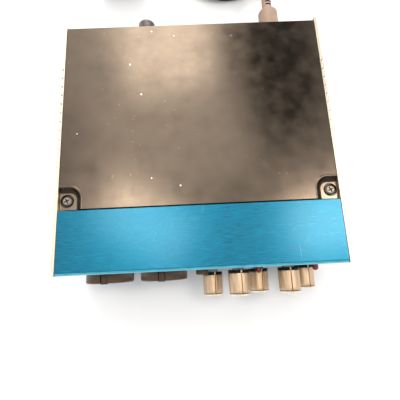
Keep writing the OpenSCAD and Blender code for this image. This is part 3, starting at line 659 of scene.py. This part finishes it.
def make_cover():
    bm = cad_shape("top_cover")
    round_edges(bm, 0.25 * MM, sharper_than=60)
    for face in bm.faces:
        height = TOP - face.calc_center_median().z
        below_floor = height - POCKET_DEPTH
        # A pocket's floor: painted light
        if face.normal.z > 0.9 and abs(below_floor) < 0.1 * MM:
            face.material_index = 1
        # Screw holes below a pocket's floor: painted shade
        elif 0.1 * MM < below_floor < SCREW_SEAT_DEPTH - POCKET_DEPTH:
            face.material_index = 2
    new_piece("cover_shell", bm, [FINISHES["cover_black"], POCKET_FLOOR_LIT, POCKET_SHADE], "case", "cover_black",
              ["top_cover"])
    for side in (-1, 1):
        make_pocket_wall(side)


def on_highlighted_bend(centre):
    return 1 if centre.y < FRONT + BEND_BACK and centre.z > TOP - BEND_DOWN else 0


# Faces in a cover screw's cross recess, which are painted near-black as shade
def in_screw_recess(centre):
    low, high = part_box("cover_screws")
    axis_x, axis_y = high.x - COVER_SCREW_R, (low.y + high.y) / 2
    away = math.hypot(abs(centre.x) - axis_x, centre.y - axis_y)
    return 1 if away < CROSS_R and high.z - CROSS_DEPTH < centre.z < high.z - 0.05 * MM else 0


def in_rail_groove(centre):
    """Whether a face is a wall or floor of one of a side rail's upright grooves, which are painted darker as
    shade.
    """
    inside = GROOVE_INWARD[0] < RAIL_OUTER_X - abs(centre.x) < GROOVE_INWARD[1]
    along = GROOVES_START < centre.y - FRONT < GROOVES_END
    upright = RAIL_SIDE_LOW < centre.z < RAIL_SIDE_HIGH
    return 1 if inside and along and upright else 0


def make_case():
    make_cover()
    refine("front_panel", 0.15, "panel_shell", choose=on_highlighted_bend, extra=[BEND_HIGHLIGHT_BLUE])
    refine("side_rail_left", 0.2, "rail_left", choose=in_rail_groove, extra=[RAIL_GROOVE_SHADE])
    refine("side_rail_right", 0.2, "rail_right", choose=in_rail_groove, extra=[RAIL_GROOVE_SHADE])
    refine("bottom_cover", 0.2)
    refine("rear_panel", 0.15)
    refine("cover_screws", 0.1, choose=in_screw_recess, extra=[RECESS_SHADE])
    for node, radius in (("underside_screws", 0.12), ("rear_screws", 0.12), ("feet", 0.25)):
        refine(node, radius)


# ---------------------------------------------------------------- front controls

# Degrees clockwise from upright, for knobs 1 to 5
POINTER_TURNS = (12, 8, 12, -3, 12)
POINTER_HALF_W = 0.22 * MM
POINTER_DEPTH = 0.25 * MM
KNURLS = 90
KNURL_DEPTH = 0.03 * MM
KNOB_SEGMENTS = 360
KNOB_BORE_R = 4.45 * MM
# How much narrower a knob is at its end than at its back
KNOB_TAPER = 0.2 * MM
# The fine lines' distance from a knob's end and from its back
GRIP_FROM_END = 1.5 * MM
GRIP_FROM_BACK = 0.5 * MM
GRIP_STEPS = 8
# The chamfer round a knob's end, painted lighter as a highlight: its width across, and its length along the
# knob
CHAMFER_WIDTH = 1.1 * MM
CHAMFER_LENGTH = 1.02 * MM
INSERT_BORE_R = 3 * MM
INSERT_R = 4.35 * MM
SKIRT_T = 1.45 * MM
SKIRT_MARK_HALF_W = 0.35 * MM
SKIRT_MARK_LENGTH = 0.6 * MM
BUTTON_CORNER_R = 0.6 * MM
BUTTON_GROOVE_DEPTH = 0.12 * MM
BUTTON_STEM_R = 1.7 * MM
LAMP_R = 1.5 * MM
# Where a lamp's flange starts and ends, back from its tip, and how far it stands out
LAMP_FLANGE = (6.1 * MM, 7.6 * MM)
LAMP_FLANGE_OUT = 0.4 * MM
# A margin smaller than any stretch of an outline
CLOSE = 0.02 * MM


def off_pointer(i, radius, turn):
    """Distance from the pointer's line, for a point on the pointer's side of knob i."""
    away = turn - math.radians(POINTER_TURNS[i - 1])
    return abs(radius * math.sin(away)) if math.cos(away) > 0 else 1


def make_knob(i):
    low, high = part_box(f"knob_{i}")
    centre = ((low.x + high.x) / 2, (low.z + high.z) / 2)
    radius, front, back = (high.x - low.x) / 2, low.y, high.y
    tip = radius - KNOB_TAPER
    start, end = front + GRIP_FROM_END, back - GRIP_FROM_BACK
    # The end's dish, then its chamfer, a groove, the grip and the back
    profile = [(0, front + 0.25 * MM), (1.5 * MM, front + 0.25 * MM), (3.6 * MM, front + 0.22 * MM),
               (3.8 * MM, front + 0.05 * MM), (3.95 * MM, front)]
    profile += arc((tip - 1.05 * MM, front + 0.3 * MM), 0.3 * MM, -90, -50, 2)
    profile += arc((tip - 0.35 * MM, front + 1.0 * MM), 0.35 * MM, -45, 0, 4)
    profile += [(tip - 0.15 * MM, front + 1.1 * MM), (tip - 0.15 * MM, front + 1.3 * MM)]
    profile += [(tip + KNOB_TAPER * k / GRIP_STEPS, start + (end - start) * k / GRIP_STEPS)
                for k in range(GRIP_STEPS + 1)]
    profile += arc((radius - 0.25 * MM, back - 0.25 * MM), 0.25 * MM, 0, 90, 3)
    profile += [(KNOB_BORE_R, back), (KNOB_BORE_R, front + 1.1 * MM), (0, front + 1.1 * MM)]

    def dent(r, y, turn):
        if r > tip - CLOSE and start - 0.01 * MM < y < end:
            r -= KNURL_DEPTH * (0.5 - 0.5 * math.cos(KNURLS * turn))
        if off_pointer(i, r, turn) < POINTER_HALF_W:
            if r > tip - CHAMFER_WIDTH and y < back - CLOSE:
                r -= POINTER_DEPTH
            if 1.4 * MM < r < tip and y < front + 1 * MM:
                y += POINTER_DEPTH
        return r, y

    def paint(r, y, turn):
        # Pointer groove and ring groove: painted shade
        if off_pointer(i, r, turn) < POINTER_HALF_W and r > tip - CLOSE:
            return 1
        if r > tip - 0.3 * MM and front + CHAMFER_LENGTH < y < start:
            return 1
        # Chamfer: painted highlight
        return 2 if tip - CHAMFER_WIDTH < r and y < front + CHAMFER_LENGTH else 0

    bm = turned(profile, centre, KNOB_SEGMENTS, dent, paint)
    new_piece(f"knob_shell_{i}", bm, [FINISHES["knob_metal"], KNOB_GROOVE_SHADE, KNOB_CHAMFER_HIGHLIGHT], BODY_OF[f"knob_{i}"],
              "knob_metal", [f"knob_{i}"], smooth_angle=50)


def make_knob_insert(i):
    low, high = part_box(f"knob_core_{i}")
    centre = ((low.x + high.x) / 2, (low.z + high.z) / 2)
    radius, back = (high.x - low.x) / 2, high.y
    skirt_front = back - SKIRT_T
    profile = [(INSERT_BORE_R, low.y), (INSERT_R, low.y), (INSERT_R, skirt_front)]
    profile += arc((radius - 0.3 * MM, skirt_front + 0.15 * MM), 0.15 * MM, -90, 0, 3)
    profile += arc((radius - 0.25 * MM, back - 0.25 * MM), 0.25 * MM, 0, 90, 3)
    profile += [(4.6 * MM, back), (4.4 * MM, back - 0.3 * MM), (INSERT_BORE_R, back - 0.3 * MM)]

    def paint(r, y, turn):
        return 1 if r > radius - SKIRT_MARK_LENGTH and off_pointer(i, r, turn) < SKIRT_MARK_HALF_W else 0

    bm = turned(profile, centre, 180, None, paint)
    new_piece(f"knob_insert_{i}", bm, [FINISHES["knob_black"], PAINT_WHITE], BODY_OF[f"knob_core_{i}"],
              "knob_black", [f"knob_core_{i}"])


def make_button():
    low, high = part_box("phantom_button")
    centre = ((low.x + high.x) / 2, (low.z + high.z) / 2)
    radius, front = (high.x - low.x) / 2, low.y
    waist = radius - BUTTON_GROOVE_DEPTH
    profile = [(0, front + 0.25 * MM), (1.2 * MM, front + 0.22 * MM), (2.0 * MM, front + 0.08 * MM)]
    profile += arc((radius - BUTTON_CORNER_R, front + BUTTON_CORNER_R), BUTTON_CORNER_R, -90, 0, 5)
    profile += [(radius, front + 2.2 * MM), (waist, front + 2.3 * MM), (waist, front + 2.5 * MM),
                (radius, front + 2.6 * MM), (radius, front + 5 * MM), (BUTTON_STEM_R, front + 5.2 * MM),
                (BUTTON_STEM_R, high.y), (0, high.y)]
    new_piece("button_cap", turned(profile, centre, 72), [FINISHES["button_plastic"]], "push_button",
              "button_plastic", ["phantom_button"])


def make_lamp(i):
    low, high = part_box(f"level_lamp_{i}")
    centre = ((low.x + high.x) / 2, (low.z + high.z) / 2)
    flange_front, flange_back = (low.y + depth for depth in LAMP_FLANGE)
    profile = [(0, low.y)] + arc((0, low.y + LAMP_R), LAMP_R, -81, 0, 9)
    profile += [(LAMP_R, flange_front), (LAMP_R + LAMP_FLANGE_OUT, flange_front),
                (LAMP_R + LAMP_FLANGE_OUT, flange_back), (0, flange_back)]
    new_piece(f"lamp_lens_{i}", turned(profile, centre, 48), [FINISHES["lamp_red"]], "case", "lamp_red",
              [f"level_lamp_{i}"])


def make_front():
    for i in KNOBS:
        make_knob(i)
        make_knob_insert(i)
        refine(f"pot_shaft_{i}", 0.1)
    for i in CHANNELS:
        refine(f"combo_jack_{i}", 0.25)
        refine(f"combo_latch_{i}", 0.15)
        make_lamp(i)
    make_button()


# ---------------------------------------------------------------- rear

THREAD_PITCH = 0.75 * MM
THREAD_DEPTH = 0.28 * MM
THREAD_OUTER_R = 4.72 * MM
THREAD_CORE_R = 4.5 * MM
RINGS_PER_PITCH = 6


def make_thread(i):
    """The screw thread on a rear jack's neck, as a ridge that climbs one pitch in each turn."""
    low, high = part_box(f"rear_jack_{i}")
    nut_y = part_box("jack_nuts")[0].y
    centre = ((low.x + high.x) / 2, (low.z + high.z) / 2)
    start, end = nut_y + 0.3 * MM, high.y - 0.9 * MM
    rings = round((end - start) / (THREAD_PITCH / RINGS_PER_PITCH))
    ridge = [(THREAD_OUTER_R, start + (end - start) * k / rings) for k in range(rings + 1)]
    profile = [(THREAD_CORE_R, start)] + ridge + [(THREAD_CORE_R, end)]

    def dent(r, y, turn):
        if r < THREAD_OUTER_R - 0.01 * MM:
            return r, y
        part = (y / THREAD_PITCH + turn / (2 * math.pi)) % 1
        return r - THREAD_DEPTH * abs(2 * part - 1), y

    new_piece(f"neck_thread_{i}", turned(profile, centre, 48, dent), [FINISHES["connector_metal"]], "case",
              "connector_metal")


def make_rear():
    for i in CHANNELS:
        refine(f"rear_jack_{i}", 0.15)
        refine(f"xlr_out_{i}", 0.3)
        make_thread(i)
    for node, radius in (("jack_nuts", 0.15), ("xlr_pins", 0.25), ("rocker_frame", 0.3), ("rocker", 0.3),
                         ("power_inlet", 0.3), ("power_plug", 0.2)):
        refine(node, radius)


# ---------------------------------------------------------------- floor and light

FLOOR_HALF = 4
# Centre and half-widths of the darker patch, on a ceiling one metre up
DARK_PATCH = (0.345, 0.80, 0.20, 0.46)
# Where the patch's soft edge starts and ends, as shares of its half-widths
PATCH_EDGE = (0.6, 1.2)
DARK_LEVEL = 0.02
PALE_LEVEL = 1.06
# Share by which the studio is brighter at the back than overhead, and darker at the front
BACK_GAIN = 0.32
# Least rise of a direction, so that the ceiling stays within reach
LEAST_RISE = 0.03


def make_floor():
    bm = bmesh.new()
    bmesh.ops.create_grid(bm, x_segments=12, y_segments=12, size=FLOOR_HALF)
    mesh = bpy.data.meshes.new("floor")
    bm.to_mesh(mesh)
    bm.free()
    floor = bpy.data.objects.new("floor", mesh)
    bpy.context.scene.collection.objects.link(floor)
    f = Finish("floor_pale", (0.88, 0.90, 0.925), 0.7, Specular_IOR_Level=0.2)
    f.tint(f.ramp(f.noise(0.15), 0.3, 0.8, 0.0, 0.4), (0.85, 0.87, 0.895))
    mesh.materials.append(f.material)


def area_light(name, place, aim, size, power, colour):
    data = bpy.data.lights.new(name, "AREA")
    data.shape = "RECTANGLE"
    data.size, data.size_y = size
    data.energy = power
    data.color = colour
    light = bpy.data.objects.new(name, data)
    bpy.context.scene.collection.objects.link(light)
    light.location = place
    light.rotation_mode = "QUATERNION"
    light.rotation_quaternion = (Vector(aim) - Vector(place)).to_track_quat("-Z", "Y")


def make_world():
    """A pale studio all round, with one darker patch of ceiling behind and to the right."""
    world = bpy.data.worlds.new("world")
    world.use_nodes = True
    tree = world.node_tree

    def math_node(operation, a, b):
        node = tree.nodes.new("ShaderNodeMath")
        node.operation = operation
        for socket, value in zip(node.inputs, (a, b)):
            if isinstance(value, bpy.types.NodeSocket):
                tree.links.new(value, socket)
            else:
                socket.default_value = value
        return node.outputs[0]

    way = tree.nodes.new("ShaderNodeTexCoord")
    split = tree.nodes.new("ShaderNodeSeparateXYZ")
    tree.links.new(way.outputs["Generated"], split.inputs[0])
    up = math_node("MAXIMUM", split.outputs["Z"], LEAST_RISE)
    squares = []
    middle_x, middle_y, half_x, half_y = DARK_PATCH
    for axis, middle, half_width in (("X", middle_x, half_x), ("Y", middle_y, half_y)):
        on_ceiling = math_node("DIVIDE", split.outputs[axis], up)
        from_middle = math_node("DIVIDE", math_node("SUBTRACT", on_ceiling, middle), half_width)
        squares.append(math_node("MULTIPLY", from_middle, from_middle))
    away = math_node("SQRT", math_node("ADD", *squares), 0)
    level = tree.nodes.new("ShaderNodeMapRange")
    level.interpolation_type = "SMOOTHSTEP"
    tree.links.new(away, level.inputs["Value"])
    for socket, value in (("From Min", PATCH_EDGE[0]), ("From Max", PATCH_EDGE[1]),
                          ("To Min", DARK_LEVEL), ("To Max", PALE_LEVEL)):
        level.inputs[socket].default_value = value
    gain = math_node("ADD", math_node("MULTIPLY", split.outputs["Y"], BACK_GAIN), 1.0)
    background = tree.nodes["Background"]
    background.inputs["Color"].default_value = (1.0, 0.985, 0.965, 1)
    tree.links.new(math_node("MULTIPLY", level.outputs["Result"], gain), background.inputs["Strength"])
    bpy.context.scene.world = world


# Name, place, what it points at, size, power in watts and colour
AREA_LIGHTS = [
    ("back_left", (-0.12, 1.06, 1.0), (-0.02, 0.04, 0.05), (0.44, 0.72), 5.4, (1.0, 0.95, 0.88)),
    ("far_left", (-0.46, 0.88, 1.0), (-0.02, 0.04, 0.05), (0.30, 0.60), 0.35, (1.0, 0.95, 0.88)),
    ("middle", (-0.08, 0.42, 1.0), (-0.02, 0.02, 0.05), (0.60, 0.36), 0.7, (1.0, 0.95, 0.88)),
    ("left", (-0.19, 0.10, 1.0), (-0.03, 0, 0.05), (0.20, 0.34), 1.35, (1.0, 0.94, 0.86)),
    ("right", (0.52, 0.08, 1.0), (0.03, 0, 0.05), (0.22, 0.34), 2.5, (1.0, 0.90, 0.80)),
]


def make_light():
    for light in AREA_LIGHTS:
        area_light(*light)
    make_world()
    bpy.context.scene.view_settings.view_transform = "Standard"


# ---------------------------------------------------------------- all

def finish_hidden_nodes():
    """The nodes that keep their CAD shape get the finish of their slot."""
    for node, piece in frame["nodes"].items():
        if not piece.hide_render:
            piece.data.materials.clear()
            piece.data.materials.append(FINISHES[SLOT_OF[node]])


make_case()
make_front()
make_rear()
make_floor()
make_light()
finish_hidden_nodes()
